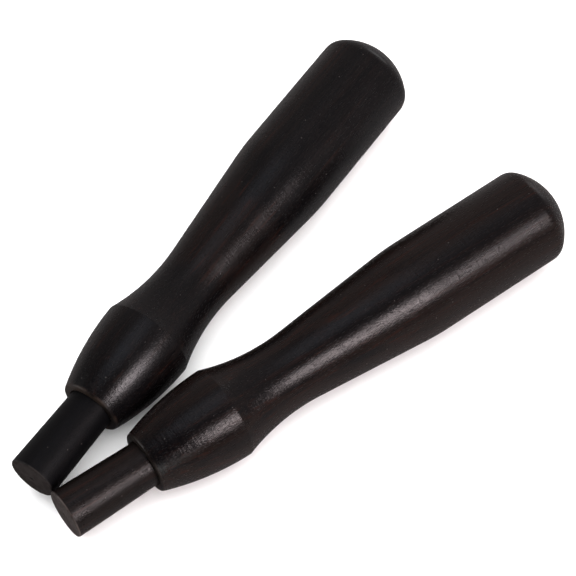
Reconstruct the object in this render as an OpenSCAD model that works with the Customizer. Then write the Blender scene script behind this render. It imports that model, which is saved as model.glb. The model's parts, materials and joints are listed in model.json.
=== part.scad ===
// A pair of claves: two turned hardwood sticks, each a handle with a dowel
// peg glued into the mouth of its head. The pair lies in a narrow V on a
// level surface, with the pegs together at the point of the V.
//
// Frame: +Z up from the surface that the sticks lie on, +X along the middle
// of the V from the pegs to the butts, origin under the middle of the pair.
// Stick A lies on the +Y side and stick B on the -Y side.
//
// Each stick is drawn upright first: the mouth of its head is at height 0,
// the butt is above it and the exposed part of the peg is below it.

/* [Handle] */
// Length of the handle, from its mouth to the top of its domed butt
handle_l = 168.7; // [160:0.1:180]
// Diameter of the straight grip
grip_d = 34.1; // [33.5:0.1:36]
// Height of the dome at the butt, above the end of the straight grip
dome_h = 10.5; // [8:0.1:14]
// Radius that softens the edge between the grip and the dome
dome_edge_r = 5; // [2:0.5:6]
// Angle at which the cone opens from the waist to the grip, in degrees
flare_angle = 5.4; // [4.5:0.1:6.5]
// Radius of the soft shoulder where the cone meets the grip
shoulder_r = 100; // [30:5:120]

/* [Head] */
// Diameter of the flat mouth that the peg comes out of
mouth_d = 21.5; // [20:0.25:24]
// Length of the swollen head, from its mouth to its sharp rim
head_l = 31.5; // [28:0.1:34]
// Diameter of the sharp rim at the back of the head
rim_d = 32.5; // [31:0.25:33.25]
// How far the side of the head bulges past a straight cone
head_bulge = 1.3; // [0.5:0.05:2]
// Radius that eases the outer edge of the mouth
mouth_edge_r = 0.8; // [0.4:0.1:1.2]

/* [Waist] */
// Diameter of the waist at its narrowest
waist_d = 24.75; // [23.5:0.25:26.5]
// Distance from the mouth to the narrowest part of the waist
waist_at = 55.3; // [53:0.1:57]

/* [Peg] */
// Length of the peg that stands out of the mouth
peg_out = 31.3; // [26:0.1:36]
// Diameter of the peg at its free end
peg_tip_d = 17.2; // [16.5:0.1:18]
// Diameter of the peg where it enters the mouth
peg_root_d = 16.1; // [15:0.1:16.5]
// Radius that eases the edge of the peg's free end
peg_edge_r = 0.7; // [0.3:0.1:1]
// Length of the peg that is glued inside the handle
tenon_l = 30; // [20:1:34]
// Width and depth of the groove round the peg at the mouth
groove = 0.4; // [0.3:0.1:1]

/* [Layout] */
// Half of the angle between the two sticks, in degrees
half_angle = 9.45; // [8:0.05:14]
// Least gap between the two sticks, which is between the pegs' free ends
// unless other dimensions bring the handles closer
tip_gap = 0.3; // [0.3:0.1:4]
// How far stick B stands out past stick A, along the V
stagger = 1.35; // [0:0.05:3]

/* [Hidden] */
$fn = 96;

// Straight steps that each arc of an outline is drawn with
arc_steps = 24;
// Space for glue between the end of the tenon and the bottom of its bore
glue_space = 1;
// Chamfer that leads the tenon into its bore
tenon_chamfer = 0.8;
// How far a cutter runs past the face it cuts
overrun = 1;

wood_a = [0.10, 0.08, 0.075];
wood_b = [0.12, 0.095, 0.08];
peg_wood_a = [0.12, 0.12, 0.125];
peg_wood_b = [0.20, 0.145, 0.11];

grip_r = grip_d / 2;
mouth_r = mouth_d / 2;
rim_r = rim_d / 2;
waist_r = waist_d / 2;
peg_tip_r = peg_tip_d / 2;
peg_root_r = peg_root_d / 2;

// Points of an outline, as [radius, height], along the arc of radius r about
// centre c from angle from_a to angle to_a
function arc(c, r, from_a, to_a) = [
    for (i = [0 : arc_steps])
        let (a = from_a + (to_a - from_a) * i / arc_steps)
            c + r * [cos(a), sin(a)]
];

// Head: one arc through the mouth's edge and the rim
head_chord = norm([rim_r - mouth_r, head_l]);
head_side_r = (pow(head_chord / 2, 2) + pow(head_bulge, 2)) / (2 * head_bulge);
head_facing = -atan2(rim_r - mouth_r, head_l);
head_c = [(mouth_r + rim_r) / 2, head_l / 2]
    - (head_side_r - head_bulge) * [cos(head_facing), sin(head_facing)];
rim_angle = head_facing + asin(head_chord / 2 / head_side_r);

// Eased edge of the mouth, tangent to the flat mouth and to the head's side
mouth_edge_out = sqrt(pow(head_side_r - mouth_edge_r, 2) - pow(mouth_edge_r - head_c.y, 2));
mouth_edge_c = [head_c.x + mouth_edge_out, mouth_edge_r];
mouth_edge_angle = atan2(mouth_edge_r - head_c.y, mouth_edge_out);

// Waist: a hollow arc that leaves the rim and ends tangent to the cone
waist_drop = rim_r - waist_r;
waist_side_r = (pow(waist_at - head_l, 2) + pow(waist_drop, 2)) / (2 * waist_drop);
waist_c = [waist_r + waist_side_r, waist_at];
waist_rim_angle = 180 + asin((waist_at - head_l) / waist_side_r);
cone_start = waist_c + waist_side_r * [-cos(flare_angle), sin(flare_angle)];

// Shoulder: an arc tangent to the cone and to the straight grip
cone_meets_grip = cone_start.y + (grip_r - cone_start.x) / tan(flare_angle);
shoulder_c = [
    grip_r - shoulder_r,
    cone_meets_grip + shoulder_r * tan(flare_angle / 2)
];

// Butt: a dome, and the small arc that joins it to the grip
dome_edge_c = [grip_r - dome_edge_r, handle_l - dome_h];
dome_rise = dome_h - dome_edge_r;
dome_drop = (pow(dome_edge_c.x, 2) - pow(dome_rise, 2)) / (2 * dome_rise);
dome_c = [0, dome_edge_c.y - dome_drop];
dome_r = dome_h + dome_drop;
dome_angle = atan2(dome_drop, dome_edge_c.x);

handle_outline = concat(
    [[0, 0]],
    arc(mouth_edge_c, mouth_edge_r, -90, mouth_edge_angle),
    arc(head_c, head_side_r, mouth_edge_angle, rim_angle),
    arc(waist_c, waist_side_r, waist_rim_angle, 180 - flare_angle),
    arc(shoulder_c, shoulder_r, -flare_angle, 0),
    arc(dome_edge_c, dome_edge_r, 0, dome_angle),
    arc(dome_c, dome_r, dome_angle, 90)
);

// Peg: a straight tenon, and a free part that widens a little to its end
peg_taper = atan2(peg_tip_r - peg_root_r, peg_out);
peg_edge_c = [
    peg_tip_r - peg_edge_r * tan((90 + peg_taper) / 2),
    peg_edge_r - peg_out
];

peg_outline = concat(
    [[0, -peg_out]],
    arc(peg_edge_c, peg_edge_r, -90, peg_taper),
    [
        [peg_root_r, 0],
        [peg_root_r, tenon_l - tenon_chamfer],
        [peg_root_r - tenon_chamfer, tenon_l],
        [0, tenon_l]
    ]
);

// Lie of a stick: it rests on its rim and on its shoulder, which is a little
// larger, so its axis climbs slightly from the peg to the butt
to_shoulder = [shoulder_c.y - head_l, rim_r - shoulder_c.x];
tilt = asin(shoulder_r / norm(to_shoulder)) - atan2(to_shoulder.y, to_shoulder.x);
mouth_z = rim_r * cos(tilt) - head_l * sin(tilt);

// Half the distance between the pegs' free ends leaves tip_gap between them
peg_side_angle = half_angle - peg_taper;
tip_y = peg_tip_r * cos(half_angle)
    + (tip_gap / cos(peg_side_angle) - stagger * tan(peg_side_angle)) / 2;

// Half the distance between the mouths: the tips set it, unless the handles
// would then come closer to each other than tip_gap
sideways = cos(tilt) * sin(half_angle);
handle_reach = max([
    for (p = handle_outline) p.x * sqrt(1 - sideways * sideways) - p.y * sideways
]);
mouth_y = max(tip_y + peg_out * sideways, handle_reach + tip_gap / 2);

// Stick A's butt and stick B's peg reach equally far from the origin
along = cos(tilt) * cos(half_angle);
butt_reach = dome_c.y * along + dome_r;
peg_reach = -peg_edge_c.y * along + peg_edge_c.x * sqrt(1 - along * along) + peg_edge_r + stagger;
mouth_x = (peg_reach - butt_reach) / 2;

// Lays an upright piece down in the place of stick A (side = 1) or stick B
// (side = -1)
module lay(side) {
    translate([mouth_x - (side < 0 ? stagger : 0), side * mouth_y, mouth_z])
        rotate([0, 0, side * half_angle])
            rotate([0, 90 - tilt, 0])
                children();
}

module handle_blank() {
    difference() {
        rotate_extrude() polygon(handle_outline);
        translate([0, 0, -overrun])
            cylinder(r = peg_root_r, h = overrun + tenon_l + glue_space);
        translate([0, 0, -overrun])
            cylinder(r1 = peg_root_r + groove + overrun, r2 = peg_root_r, h = overrun + groove);
    }
}

module peg_blank() {
    rotate_extrude() polygon(peg_outline);
}

module handle_a() {
    color(wood_a) lay(1) handle_blank();
}

module peg_a() {
    color(peg_wood_a) lay(1) peg_blank();
}

module handle_b() {
    color(wood_b) lay(-1) handle_blank();
}

module peg_b() {
    color(peg_wood_b) lay(-1) peg_blank();
}

handle_a();
peg_a();
handle_b();
peg_b();
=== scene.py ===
"""A pair of claves turned from near-black hardwood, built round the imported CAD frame.

Each stick is two lathe-turned pieces, a handle and a peg. Their outlines repeat the CAD's driving
dimensions, with an eased rim, an eased groove and a centre mark that the CAD leaves out, and their
places come from the record's peg_face mounts.
"""
import json
import math

import bmesh
import bpy
from mathutils import Matrix, Vector


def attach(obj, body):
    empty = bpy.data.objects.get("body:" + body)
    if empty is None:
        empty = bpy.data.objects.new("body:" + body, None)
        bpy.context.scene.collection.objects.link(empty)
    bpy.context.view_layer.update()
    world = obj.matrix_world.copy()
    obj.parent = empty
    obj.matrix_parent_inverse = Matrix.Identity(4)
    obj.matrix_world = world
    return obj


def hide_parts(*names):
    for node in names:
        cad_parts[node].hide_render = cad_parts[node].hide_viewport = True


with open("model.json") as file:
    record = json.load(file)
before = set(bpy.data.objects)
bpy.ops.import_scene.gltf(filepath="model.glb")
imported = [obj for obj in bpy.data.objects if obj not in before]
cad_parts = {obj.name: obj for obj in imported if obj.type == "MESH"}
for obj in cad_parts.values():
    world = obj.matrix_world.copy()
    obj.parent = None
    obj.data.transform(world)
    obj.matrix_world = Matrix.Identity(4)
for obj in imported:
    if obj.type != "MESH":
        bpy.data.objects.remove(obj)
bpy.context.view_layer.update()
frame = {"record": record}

MM = 0.001

# Driving dimensions, the same as the CAD's, in millimetres
HANDLE_L = 168.7
GRIP_R = 17.05
DOME_H = 10.5
DOME_EDGE_R = 5.0
FLARE = math.radians(5.4)
SHOULDER_R = 100.0
MOUTH_R = 10.75
HEAD_L = 31.5
RIM_R = 16.25
HEAD_BULGE = 1.3
MOUTH_EDGE_R = 0.8
WAIST_R = 12.375
WAIST_AT = 55.3
PEG_OUT = 31.3
PEG_TIP_R = 8.6
PEG_ROOT_R = 8.05
PEG_EDGE_R = 0.7
TENON_L = 30.0
TENON_CHAMFER = 0.8
GLUE_SPACE = 1.0
GROOVE = 0.4

# Fine details that the CAD leaves out, in millimetres
RIM_EASE = 0.3
GROOVE_EASE = 0.15
TENON_SLACK = 0.02
CENTRE_MARK_R = 0.75
CENTRE_MARK_DEPTH = 0.5

# Resolution of the turned meshes: steps round the axis, the longest step along an outline in
# millimetres, and the fewest steps and widest turn of a step that an arc is drawn with
ROUND_STEPS = 224
LONGEST_STEP = 0.9
FEWEST_ARC_STEPS = 6
WIDEST_ARC_STEP = math.radians(9)
# A point nearer to the axis than this, in millimetres, lies on it
ON_AXIS = 1e-9

# The mesh attribute that holds a stick's own coordinates
UPRIGHT = "upright_mm"


# ---------------------------------------------------------------- outlines

def arc(centre, radius, start, end):
    """Points (radius, height) on an arc, from angle start to angle end, in radians."""
    turn = abs(end - start)
    count = max(FEWEST_ARC_STEPS, math.ceil(turn * radius / LONGEST_STEP), math.ceil(turn / WIDEST_ARC_STEP))
    angles = [start + (end - start) * i / count for i in range(count + 1)]
    return [(centre[0] + radius * math.cos(a), centre[1] + radius * math.sin(a)) for a in angles]


def straight(start, end):
    """Points from start up to, but not including, end."""
    count = max(1, math.ceil(math.dist(start, end) / LONGEST_STEP))
    return [tuple(s + (e - s) * i / count for s, e in zip(start, end)) for i in range(count)]


def eased(before, corner, after, radius):
    """A small arc that rounds a corner between two straight or nearly straight sides."""
    a = (Vector(before) - Vector(corner)).normalized()
    b = (Vector(after) - Vector(corner)).normalized()
    half = a.angle(b) / 2
    centre = Vector(corner) + (a + b).normalized() * (radius / math.sin(half))
    first = Vector(corner) + a * (radius / math.tan(half)) - centre
    last = Vector(corner) + b * (radius / math.tan(half)) - centre
    start = math.atan2(first.y, first.x)
    turn = math.remainder(math.atan2(last.y, last.x) - start, 2 * math.pi)
    return arc(centre, radius, start, start + turn)


def handle_outline():
    """The handle's outline, from the end of its bore on the axis, round the mouth and over the dome to
    the axis again."""
    # head
    chord = math.hypot(RIM_R - MOUTH_R, HEAD_L)
    side_r = ((chord / 2) ** 2 + HEAD_BULGE ** 2) / (2 * HEAD_BULGE)
    facing = -math.atan2(RIM_R - MOUTH_R, HEAD_L)
    head_c = ((MOUTH_R + RIM_R) / 2 - (side_r - HEAD_BULGE) * math.cos(facing),
              HEAD_L / 2 - (side_r - HEAD_BULGE) * math.sin(facing))
    rim_angle = facing + math.asin(chord / 2 / side_r)
    edge_out = math.sqrt((side_r - MOUTH_EDGE_R) ** 2 - (MOUTH_EDGE_R - head_c[1]) ** 2)
    edge_c = (head_c[0] + edge_out, MOUTH_EDGE_R)
    edge_angle = math.atan2(MOUTH_EDGE_R - head_c[1], edge_out)
    # waist
    drop = RIM_R - WAIST_R
    waist_r = ((WAIST_AT - HEAD_L) ** 2 + drop ** 2) / (2 * drop)
    waist_c = (WAIST_R + waist_r, WAIST_AT)
    waist_start = math.pi + math.asin((WAIST_AT - HEAD_L) / waist_r)
    cone_start = (waist_c[0] - waist_r * math.cos(FLARE), WAIST_AT + waist_r * math.sin(FLARE))
    # shoulder and butt
    cone_top = cone_start[1] + (GRIP_R - cone_start[0]) / math.tan(FLARE)
    shoulder_c = (GRIP_R - SHOULDER_R, cone_top + SHOULDER_R * math.tan(FLARE / 2))
    dome_edge_c = (GRIP_R - DOME_EDGE_R, HANDLE_L - DOME_H)
    rise = DOME_H - DOME_EDGE_R
    dome_drop = (dome_edge_c[0] ** 2 - rise ** 2) / (2 * rise)
    dome_angle = math.atan2(dome_drop, dome_edge_c[0])

    head = arc(head_c, side_r, edge_angle, rim_angle)
    waist = arc(waist_c, waist_r, waist_start, math.pi - FLARE)
    shoulder = arc(shoulder_c, SHOULDER_R, -FLARE, 0)
    dome_edge = arc(dome_edge_c, DOME_EDGE_R, 0, dome_angle)
    dome = arc((0, dome_edge_c[1] - dome_drop), DOME_H + dome_drop, dome_angle, math.pi / 2)

    bore_end = TENON_L + GLUE_SPACE
    groove_foot = (PEG_ROOT_R, GROOVE)
    groove_top = (PEG_ROOT_R + GROOVE, 0)
    mouth_flat_end = (edge_c[0], 0)
    rim = eased(head[-2], (RIM_R, HEAD_L), waist[1], RIM_EASE)
    return (
        [(0, bore_end)]
        + straight((PEG_ROOT_R, bore_end), groove_foot)
        + straight(groove_foot, groove_top)
        + eased(groove_foot, groove_top, mouth_flat_end, GROOVE_EASE)
        + arc(edge_c, MOUTH_EDGE_R, -math.pi / 2, edge_angle)
        + head[1:-1] + rim + waist[1:]
        + straight(cone_start, shoulder[0])[1:] + shoulder
        + straight(shoulder[-1], dome_edge[0])[1:] + dome_edge
        + dome[1:-1] + [(0, HANDLE_L)]
    )


def peg_outline():
    """The peg's outline, from the middle of its free end to the end of its tenon."""
    taper = math.atan2(PEG_TIP_R - PEG_ROOT_R, PEG_OUT)
    edge_c = (PEG_TIP_R - PEG_EDGE_R * math.tan((math.pi / 2 + taper) / 2), PEG_EDGE_R - PEG_OUT)
    tenon_r = PEG_ROOT_R - TENON_SLACK
    edge = arc(edge_c, PEG_EDGE_R, -math.pi / 2, taper)
    mark_halfway = (CENTRE_MARK_R * 0.5, CENTRE_MARK_DEPTH * 0.55 - PEG_OUT)
    mark = [(0, CENTRE_MARK_DEPTH - PEG_OUT), mark_halfway]
    return (
        mark + straight((CENTRE_MARK_R, -PEG_OUT), (edge_c[0], -PEG_OUT)) + edge
        + straight(edge[-1], (tenon_r, 0))[1:]
        + straight((tenon_r, 0), (tenon_r, TENON_L - TENON_CHAMFER))
        + [(tenon_r, TENON_L - TENON_CHAMFER), (tenon_r - TENON_CHAMFER, TENON_L), (0, TENON_L)]
    )


# ---------------------------------------------------------------- meshes

def turned(name, outline, place):
    """A closed lathe-turned mesh, from an outline that starts and ends on the axis, laid in its place.
    Its points keep their upright coordinates, in millimetres, for the grain to follow."""
    mesh = bmesh.new()
    rings = []
    for radius, height in outline:
        if radius < ON_AXIS:
            rings.append([mesh.verts.new((0, 0, height))])
            continue
        angles = [2 * math.pi * k / ROUND_STEPS for k in range(ROUND_STEPS)]
        rings.append([mesh.verts.new((radius * math.cos(a), radius * math.sin(a), height)) for a in angles])
    for low, high in zip(rings, rings[1:]):
        for k in range(ROUND_STEPS):
            n = (k + 1) % ROUND_STEPS
            if len(low) == 1:
                mesh.faces.new((low[0], high[n], high[k]))
            elif len(high) == 1:
                mesh.faces.new((low[k], low[n], high[0]))
            else:
                mesh.faces.new((low[k], low[n], high[n], high[k]))
    bmesh.ops.recalc_face_normals(mesh, faces=mesh.faces)
    for face in mesh.faces:
        face.smooth = True
    data = bpy.data.meshes.new(name)
    mesh.to_mesh(data)
    mesh.free()
    upright = data.attributes.new(UPRIGHT, "FLOAT_VECTOR", "POINT")
    for item, vertex in zip(upright.data, data.vertices):
        item.vector = vertex.co
    data.transform(place @ Matrix.Scale(MM, 4))
    piece = bpy.data.objects.new(name, data)
    bpy.context.scene.collection.objects.link(piece)
    return piece


def stick_frame(face_mount):
    """The matrix that lays an upright piece in a stick's place. The piece has its mouth at the origin and
    its axis along Z, and its X axis ends as near upright as the stick allows."""
    axis = -Vector(face_mount["axis"]).normalized()
    mouth = Vector(face_mount["pos_m"]) + axis * PEG_OUT * MM
    up = (Vector((0, 0, 1)) - axis * axis.z).normalized()
    side = axis.cross(up)
    return Matrix((
        (up.x, side.x, axis.x, mouth.x),
        (up.y, side.y, axis.y, mouth.y),
        (up.z, side.z, axis.z, mouth.z),
        (0, 0, 0, 1),
    ))


# ---------------------------------------------------------------- materials

# The colour sockets of a Mix node that mixes colours
MIX_A, MIX_B = 6, 7


class Nodes:
    """A short way to write a material's node tree."""

    def __init__(self, name):
        self.material = bpy.data.materials.new(name)
        self.material.use_nodes = True
        self.tree = self.material.node_tree
        self.tree.nodes.clear()
        self.out = self.tree.nodes.new("ShaderNodeOutputMaterial")
        self.shader = self.tree.nodes.new("ShaderNodeBsdfPrincipled")
        self.tree.links.new(self.shader.outputs["BSDF"], self.out.inputs["Surface"])

    def put(self, socket, value):
        """Links an output to a socket, or sets the socket to a constant."""
        if isinstance(value, bpy.types.NodeSocket):
            self.tree.links.new(value, socket)
        elif value is not None:
            socket.default_value = value

    def set(self, name, value):
        self.put(self.shader.inputs[name], value)

    def math(self, operation, a, b=None):
        node = self.tree.nodes.new("ShaderNodeMath")
        node.operation = operation
        for socket, value in zip(node.inputs, (a, b)):
            self.put(socket, value)
        return node.outputs[0]

    def object_mm(self, turn=0.0, slant=(0.0, 0.0)):
        """The stick's own coordinates in millimetres, turned about its axis and slanted off it, in
        degrees."""
        own = self.tree.nodes.new("ShaderNodeAttribute")
        own.attribute_name = UPRIGHT
        mapping = self.tree.nodes.new("ShaderNodeMapping")
        mapping.inputs["Rotation"].default_value = [math.radians(a) for a in (*slant, turn)]
        self.tree.links.new(own.outputs["Vector"], mapping.inputs["Vector"])
        return mapping.outputs["Vector"]

    def stretched(self, vector, across, along, shift):
        """Coordinates scaled across and along the axis, so that what a texture draws is stretched."""
        mapping = self.tree.nodes.new("ShaderNodeMapping")
        mapping.inputs["Scale"].default_value = (across, across, along)
        mapping.inputs["Location"].default_value = shift
        self.tree.links.new(vector, mapping.inputs["Vector"])
        return mapping.outputs["Vector"]

    def split(self, vector):
        """The X, Y and Z of a vector."""
        node = self.tree.nodes.new("ShaderNodeSeparateXYZ")
        self.tree.links.new(vector, node.inputs[0])
        return node.outputs

    def specks(self, vector, spacing, radius, share):
        """1 within radius of the centre of a share of scattered cells, otherwise 0."""
        node = self.tree.nodes.new("ShaderNodeTexVoronoi")
        node.inputs["Scale"].default_value = 1 / spacing
        self.tree.links.new(vector, node.inputs["Vector"])
        near = self.math("LESS_THAN", node.outputs["Distance"], radius / spacing)
        split = self.tree.nodes.new("ShaderNodeSeparateColor")
        self.tree.links.new(node.outputs["Color"], split.inputs[0])
        return self.math("MULTIPLY", near, self.math("LESS_THAN", split.outputs[0], share))

    def noise(self, vector, scale, detail=3.0, roughness=0.55, distortion=0.0):
        node = self.tree.nodes.new("ShaderNodeTexNoise")
        node.inputs["Scale"].default_value = scale
        node.inputs["Detail"].default_value = detail
        node.inputs["Roughness"].default_value = roughness
        node.inputs["Distortion"].default_value = distortion
        self.tree.links.new(vector, node.inputs["Vector"])
        return node.outputs["Fac"]

    def between(self, value, low, high, to_low=0.0, to_high=1.0):
        """Maps low..high smoothly to to_low..to_high and holds it there beyond."""
        node = self.tree.nodes.new("ShaderNodeMapRange")
        node.interpolation_type = "SMOOTHSTEP"
        limits = {"From Min": low, "From Max": high, "To Min": to_low, "To Max": to_high}
        for name, number in limits.items():
            node.inputs[name].default_value = number
        self.put(node.inputs["Value"], value)
        return node.outputs["Result"]

    def mix(self, share, a, b):
        node = self.tree.nodes.new("ShaderNodeMix")
        node.data_type = "RGBA"
        self.put(node.inputs["Factor"], share)
        self.put(node.inputs[MIX_A], (*a, 1) if isinstance(a, tuple) else a)
        self.put(node.inputs[MIX_B], (*b, 1) if isinstance(b, tuple) else b)
        return node.outputs[2]

    def bump(self, height, distance, normal=None):
        node = self.tree.nodes.new("ShaderNodeBump")
        node.inputs["Distance"].default_value = distance
        self.put(node.inputs["Height"], height)
        self.put(node.inputs["Normal"], normal)
        return node.outputs["Normal"]


# Noises that run along the grain: how far one is drawn out along it (the smaller, the further), then its
# scale, detail, roughness and distortion
BANDS = (0.03, 0.3, 3, 0.6, 0.5)
STREAKS = (0.022, 0.85, 3, 0.6, 0.2)
LINES = (0.018, 1.3, 3, 0.65)
FIBRES = (0.09, 3.2, 3, 0.8)
# Noises that are the same in all directions: scale, detail and roughness
EDGE_PATCHES = (0.16, 3, 0.6)
STAINS = (0.3, 3, 0.6)
VESSELS = (2.6, 2, 0.6)
POLISH = (0.12, 3, 0.6)
GRIT = (2.2, 2, 0.6)
# The noise of the sanding rings: scale, detail and roughness, and how far it is drawn out round the stick
RINGS = (1.1, 3, 0.75)
RINGS_ROUND = 0.06
# Specks: spacing and radius in millimetres. Pores are drawn out along the grain, and dust covers a share
PORE_ALONG = 0.2
PORES = (0.5, 0.13)
DUST = (2.1, 0.2, 0.12)

# The range of each noise over which what it draws fades in, or for lines fades out
STREAK_FADE = (0.53, 0.66)
LINE_FADE = (0.32, 0.47)
FIBRE_FADE = (0.42, 0.78)
EDGE_PATCH_FADE = (0.4, 0.58)
VESSEL_FADE = (0.5, 0.66)
STAIN_FADE = (0.42, 0.62)
POLISH_FADE = (0.3, 0.7)
# The bands, with the core's bias added, turn from dark to brown over this range
BAND_TO_BROWN = (0.37, 0.7)
# Red streaks gain their full strength over this range of brownness
RED_WHERE_BROWN = (0.1, 0.6)
# How strongly pores and dust show in the colour, and how deep a pore is in millimetres
PORE_SHOWN = 0.4
DUST_SHOWN = 0.8
PORE_DEPTH = 0.03
# How far stains and vessels darken end grain, and the radii over which the centre mark's stain fades out
STAIN_SHOWN = 0.7
VESSELS_SHOWN = 0.45
CENTRE_STAIN = (0.5, 1.2)
# How much rougher the surface is where it is brown and in a pore, and how far its polish varies
BROWN_ROUGHER = 0.03
PORE_ROUGHER = 0.15
POLISH_VARIES = 0.03


def brownness(n, look, band):
    """How brown the wood is. A dark core runs lengthwise through each stick, and one length of it is
    browner."""
    _, sideways, height = n.split(n.object_mm(0, look["slant"]))
    away = n.math("ABSOLUTE", n.math("SUBTRACT", sideways, look["core"]))
    bias = n.between(away, *look["core_width"], -look["core_depth"], look["core_depth"])
    middle, reach, amount = look["brown_length"]
    off = n.math("ABSOLUTE", n.math("SUBTRACT", height, middle))
    bias = n.math("ADD", bias, n.between(off, reach * 0.5, reach, amount, 0))
    return n.between(n.math("ADD", band, bias), *BAND_TO_BROWN)


def grain_colour(n, look, at, grain):
    """Dark heartwood with brown bands, red streaks, dark lines, fibres and pores along the grain, and dust
    on it. Returns the colour, how brown the wood is, the fibres and the pores."""
    def along_grain(along, *texture):
        return n.noise(n.stretched(grain, 1, along, look["shift"]), *texture)

    brown = brownness(n, look, along_grain(*BANDS))
    red_here = n.between(brown, *RED_WHERE_BROWN, look["red_in_dark"], 1)
    red = n.math("MULTIPLY", n.between(along_grain(*STREAKS), *STREAK_FADE), red_here)
    line = n.between(along_grain(*LINES), *LINE_FADE, 1, 0)
    fibre = along_grain(*FIBRES)
    pore = n.specks(n.stretched(grain, 1, PORE_ALONG, look["shift"]), *PORES, look["pores"])
    colour = n.mix(brown, look["dark"], look["brown"])
    colour = n.mix(n.math("MULTIPLY", red, look["redness"]), colour, look["red"])
    colour = n.mix(n.math("MULTIPLY", line, look["lines"]), colour, look["pore"])
    colour = n.mix(n.between(fibre, *FIBRE_FADE, 0, look["fibre"]), colour, look["pale"])
    colour = n.mix(n.math("MULTIPLY", pore, PORE_SHOWN), colour, look["pore"])
    dust = n.specks(at, *DUST)
    return n.mix(n.math("MULTIPLY", dust, DUST_SHOWN), colour, look["dust"]), brown, fibre, pore


def wear_sheen_and_end_grain(n, look, at, colour):
    """Paler wood along an edge, and end grain below it. On the handles the pale edge is rubbed wood; on
    the pegs it is partly rubbed wood and partly a painted highlight where light catches the eased edge.
    Heights are from the mouth, negative towards the peg's end."""
    x, y, height = n.split(at)
    off_axis = n.math("SQRT", n.math("ADD", n.math("MULTIPLY", x, x), n.math("MULTIPLY", y, y)))
    moved = n.stretched(at, 1, 1, look["shift"])
    # The pale edge band: rubbed wood at the handles' mouths, and on the pegs partly rubbed wood and partly a
    # painted highlight along the eased edge
    patchy = n.between(n.noise(moved, *EDGE_PATCHES), *EDGE_PATCH_FADE, *look["edge_patchiness"])
    edge = n.math("MULTIPLY", n.between(height, *look["edge"], 1, 0), patchy)
    end = n.between(height, *look["end"], 1, 0)
    vessels = n.between(n.noise(at, *VESSELS), *VESSEL_FADE)
    stain = n.math("MULTIPLY", n.between(n.noise(moved, *STAINS), *STAIN_FADE), STAIN_SHOWN)
    stain = n.math("MAXIMUM", stain, n.between(off_axis, *CENTRE_STAIN, 1, 0))
    cut = n.mix(stain, look["cut"], look["stain"])
    cut = n.mix(n.math("MULTIPLY", vessels, VESSELS_SHOWN), cut, look["brown"])
    colour = n.mix(n.math("MULTIPLY", end, look["bare"]), colour, cut)
    edge = n.math("MULTIPLY", edge, n.between(height, *look["end"], look["edge_on_end"], 1))
    return n.mix(edge, colour, look["wear_and_edge_sheen"]), edge, end


def finish(n, look, at, brown, fibre, pore, bare):
    """An oiled, hand-rubbed surface. The rings are what sanding on the lathe leaves round the stick."""
    smoothest, roughest = look["rough"] - POLISH_VARIES, look["rough"] + POLISH_VARIES
    rough = n.between(n.noise(at, *POLISH), *POLISH_FADE, smoothest, roughest)
    for share, amount in ((brown, BROWN_ROUGHER), (pore, PORE_ROUGHER), (bare, look["matt"])):
        rough = n.math("ADD", rough, n.math("MULTIPLY", share, amount))
    n.set("Roughness", rough)
    n.set("Specular IOR Level", look["specular"])
    n.set("Specular Tint", (*look["gloss"], 1))
    rings = n.noise(n.stretched(at, RINGS_ROUND, 1, look["shift"]), *RINGS)
    normal = n.bump(rings, look["rings"] * MM)
    normal = n.bump(n.noise(at, *GRIT), look["grit"] * MM, normal)
    normal = n.bump(fibre, look["relief"] * MM, normal)
    n.set("Normal", n.bump(n.math("MULTIPLY", pore, -1), PORE_DEPTH * MM, normal))


def wood(name, look):
    """Oiled near-black turned hardwood."""
    n = Nodes(name)
    at = n.object_mm()
    grain = n.object_mm(look["turn"], look["slant"])
    colour, brown, fibre, pore = grain_colour(n, look, at, grain)
    colour, edge, end = wear_sheen_and_end_grain(n, look, at, colour)
    n.set("Base Color", colour)
    finish(n, look, at, brown, fibre, pore, n.math("MAXIMUM", edge, end))
    return n.material


# Colours are linear. "edge" and "end" are the heights, in millimetres from the mouth, between which an
# edge's pale band and the end grain fade out; on the pegs the pale band is partly rubbed wood and partly a
# painted highlight along the eased edge. "rings", "grit" and "relief" are heights of bumps in millimetres.
HANDLE_LOOK = {
    "turn": 20, "slant": (1.0, -0.5), "shift": (3.0, -7.0, 11.0),
    "core": 4.0, "core_width": (8.0, 16.0), "core_depth": 0.13, "brown_length": (73.0, 22.0, 0.26),
    "dark": (0.0056, 0.0054, 0.0067), "brown": (0.0175, 0.0108, 0.0092), "red": (0.05, 0.016, 0.0098),
    "pale": (0.04, 0.031, 0.028), "pore": (0.0015, 0.0014, 0.0016), "dust": (0.18, 0.165, 0.155),
    "wear_and_edge_sheen": (0.065, 0.044, 0.033), "cut": (0.028, 0.02, 0.017), "stain": (0.014, 0.009, 0.007),
    "redness": 0.6, "red_in_dark": 0.1, "lines": 0.6, "fibre": 0.6, "pores": 0.8,
    "edge": (0.35, 1.1), "end": (0.05, 0.2), "edge_patchiness": (0.15, 1.0), "edge_on_end": 1.0, "bare": 0.8,
    "rough": 0.25, "matt": 0.2, "specular": 0.5, "gloss": (0.96, 1.0, 1.02),
    "rings": 0.06, "grit": 0.055, "relief": 0.006,
}
PEG_LOOK = {
    **HANDLE_LOOK,
    "core": 0.0, "core_width": (4.0, 12.0), "core_depth": 0.03, "brown_length": (0.0, 1.0, 0.0),
    # The pegs' pale edge colour is partly rubbed wood and partly a painted highlight along the eased edge
    "wear_and_edge_sheen": (0.13, 0.112, 0.1), "cut": (0.066, 0.053, 0.049), "stain": (0.028, 0.017, 0.013),
    "edge": (-30.95, -30.6), "end": (-31.28, -31.15), "edge_patchiness": (0.35, 1.0), "edge_on_end": 0.0, "bare": 0.95,
    "rings": 0.03, "grit": 0.07,
}
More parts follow.
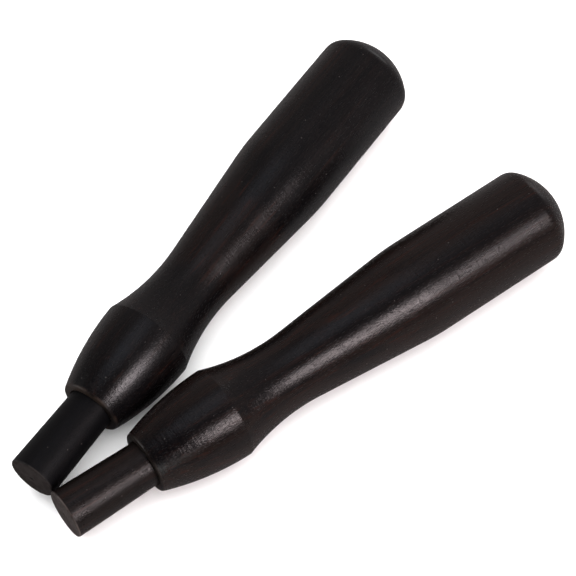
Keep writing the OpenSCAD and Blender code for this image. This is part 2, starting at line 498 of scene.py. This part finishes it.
LOOKS = {
    "handle_wood_a": HANDLE_LOOK,
    "handle_wood_b": {
        **HANDLE_LOOK,
        "turn": -35, "slant": (0.8, 1.0), "shift": (41.0, 13.0, -29.0),
        "core": 3.5, "core_width": (2.5, 8.0), "core_depth": 0.12, "brown_length": (150.0, 60.0, 0.03),
        "dark": (0.0056, 0.0052, 0.0068), "brown": (0.0235, 0.0138, 0.0111), "wear_and_edge_sheen": (0.034, 0.024, 0.019),
        "redness": 0.75, "red_in_dark": 0.3,
        "rough": 0.2, "gloss": (1.0, 1.0, 1.0), "rings": 0.11, "grit": 0.07,
    },
    "peg_wood_a": {
        **PEG_LOOK,
        "turn": 80, "shift": (-17.0, 29.0, 5.0),
        # Its pale edge colour is partly rubbed wood and partly a painted highlight along the eased edge
        "dark": (0.0045, 0.005, 0.0066), "brown": (0.0064, 0.0066, 0.0082), "wear_and_edge_sheen": (0.07, 0.062, 0.058),
        "redness": 0.05, "lines": 0.4, "fibre": 0.2, "pores": 0.3,
        "rough": 0.48, "specular": 0.3, "grit": 0.08,
    },
    "peg_wood_b": {
        **PEG_LOOK,
        "turn": 10, "shift": (-9.0, 3.0, 19.0),
        # Its pale edge colour is partly rubbed wood and partly a painted highlight along the eased edge
        "dark": (0.005, 0.0034, 0.0031), "brown": (0.019, 0.0098, 0.0068), "wear_and_edge_sheen": (0.2, 0.165, 0.15),
        "cut": (0.125, 0.097, 0.087), "stain": (0.045, 0.025, 0.018),
        "redness": 0.9, "red_in_dark": 0.4, "lines": 0.8, "fibre": 0.75, "pores": 1.0,
        "rough": 0.28, "gloss": (1.0, 1.0, 1.0), "rings": 0.06, "grit": 0.12,
    },
}


# ---------------------------------------------------------------- pieces

mounts = {m["name"]: m for m in frame["record"]["mounts"]}
for letter in ("a", "b"):
    place = stick_frame(mounts[f"peg_face_{letter}"])
    for kind, outline in (("handle", handle_outline()), ("peg", peg_outline())):
        piece = turned(f"{kind}_{letter}_wood", outline, place)
        slot = f"{kind}_wood_{letter}"
        piece.data.materials.append(wood(slot, LOOKS[slot]))
        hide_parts(f"{kind}_{letter}")
        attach(piece, f"stick_{letter}")


# ---------------------------------------------------------------- stage, light and camera

# Half the floor's width and how far it lies below the sticks, in metres
FLOOR_REACH = 3.0
FLOOR_DROP = 0.05 * MM

# What the camera sees of the floor and the room is pale; what lights and is mirrored in the sticks is
# dimmer
FLOOR_SHOWN = (0.9, 0.9, 0.9)
FLOOR_LIGHTING = (0.102, 0.097, 0.097)
ROOM_LEVEL = 0.102
ROOM_SLOPE = (0.1865, 0.035, -0.017)
ROOM_TINT = (1.08, 0.957, 0.953)

# Lights on everything: name, angle from +X, height above the floor, distance, width, depth, watts and tint
SOFTBOXES = (
    ("key", -88.3, 39.1, 2.31, 0.60, 0.72, 16.0, (1.1, 0.945, 0.955)),
    ("peg_fill_a", 135, 13, 1.5, 0.6, 0.6, 3.6, (1, 1, 1)),
    ("peg_fill_b", 225, 13, 1.5, 0.6, 0.6, 2.2, (1, 1, 1)),
    ("butt_fill", 12, 12, 1.5, 0.8, 0.5, 1.1, (1, 1, 1)),
    ("rear", 83.6, 81.3, 1.2, 0.66, 0.66, 0.5, (0.932, 0.979, 1.132)),
)
# A light on the floor alone
OVERHEAD = ("overhead", 0, 90, 1.6, 2.4, 2.4, 90, (1, 1, 1))

CAMERA_PLACE = (-0.3131, -0.3222, 0.8194)
CAMERA_TARGET = (0.01796, 0.00583, 0)
CAMERA_LENS = 171.25


def towards(turn, height):
    """A unit vector at an angle from +X and a height above the floor, both in degrees."""
    a, e = math.radians(turn), math.radians(height)
    return Vector((math.cos(a) * math.cos(e), math.sin(a) * math.cos(e), math.sin(e)))


def softbox(name, turn, height, distance, width, depth, power, colour):
    """A rectangular soft light that faces the middle of the pair."""
    lamp = bpy.data.lights.new(name, "AREA")
    lamp.shape = "RECTANGLE"
    lamp.size, lamp.size_y = width, depth
    lamp.energy = power
    lamp.color = colour
    box = bpy.data.objects.new(name, lamp)
    away = towards(turn, height)
    box.location = away * distance
    box.rotation_mode = "QUATERNION"
    box.rotation_quaternion = away.to_track_quat("Z", "Y")
    box.visible_camera = False
    bpy.context.scene.collection.objects.link(box)
    return box


def shown_and_lighting(tree, shown, lighting):
    """A colour that the camera sees as one grey, shown, and the scene is lit by as another, lighting,
    which is a colour or an output."""
    path = tree.nodes.new("ShaderNodeLightPath")
    mix = tree.nodes.new("ShaderNodeMix")
    mix.data_type = "RGBA"
    tree.links.new(path.outputs["Is Camera Ray"], mix.inputs["Factor"])
    if isinstance(lighting, bpy.types.NodeSocket):
        tree.links.new(lighting, mix.inputs[MIX_A])
    else:
        mix.inputs[MIX_A].default_value = (*lighting, 1)
    mix.inputs[MIX_B].default_value = (*shown, 1)
    return mix.outputs[2]


def make_floor():
    far = FLOOR_REACH
    data = bpy.data.meshes.new("floor")
    data.from_pydata([(-far, -far, 0), (far, -far, 0), (far, far, 0), (-far, far, 0)], [], [(0, 1, 2, 3)])
    floor = bpy.data.objects.new("floor", data)
    floor.location.z = -FLOOR_DROP
    bpy.context.scene.collection.objects.link(floor)
    n = Nodes("pale_floor")
    n.set("Base Color", shown_and_lighting(n.tree, FLOOR_SHOWN, FLOOR_LIGHTING))
    n.set("Roughness", 0.9)
    n.set("Specular IOR Level", 0.0)
    data.materials.append(n.material)
    return floor


def make_world():
    """A dim room that is a little brighter behind the butts than behind the pegs."""
    world = bpy.data.worlds.new("studio")
    bpy.context.scene.world = world
    world.use_nodes = True
    tree = world.node_tree
    direction = tree.nodes.new("ShaderNodeTexCoord").outputs["Generated"]
    slope = tree.nodes.new("ShaderNodeVectorMath")
    slope.operation = "DOT_PRODUCT"
    slope.inputs[1].default_value = ROOM_SLOPE
    tree.links.new(direction, slope.inputs[0])
    level = tree.nodes.new("ShaderNodeMath")
    level.operation = "ADD"
    level.inputs[1].default_value = ROOM_LEVEL
    tree.links.new(slope.outputs["Value"], level.inputs[0])
    room = tree.nodes.new("ShaderNodeMix")
    room.data_type = "RGBA"
    tree.links.new(level.outputs[0], room.inputs["Factor"])
    room.inputs[MIX_A].default_value = (0, 0, 0, 1)
    room.inputs[MIX_B].default_value = (*ROOM_TINT, 1)
    colour = shown_and_lighting(tree, FLOOR_SHOWN, room.outputs[2])
    tree.links.new(colour, tree.nodes["Background"].inputs["Color"])


def only_lights(box, thing):
    """Keeps a light to one receiver."""
    receivers = bpy.data.collections.new(f"{box.name}_receivers")
    receivers.objects.link(thing)
    box.light_linking.receiver_collection = receivers


ground = make_floor()
make_world()
for settings in SOFTBOXES:
    softbox(*settings)
only_lights(softbox(*OVERHEAD), ground)

camera = bpy.data.objects.new("camera", bpy.data.cameras.new("camera"))
bpy.context.scene.collection.objects.link(camera)
camera.data.lens = CAMERA_LENS
camera.location = CAMERA_PLACE
camera.rotation_mode = "QUATERNION"
camera.rotation_quaternion = (Vector(CAMERA_TARGET) - camera.location).to_track_quat("-Z", "Y")
bpy.context.scene.camera = camera
bpy.context.scene.view_settings.view_transform = "Standard"
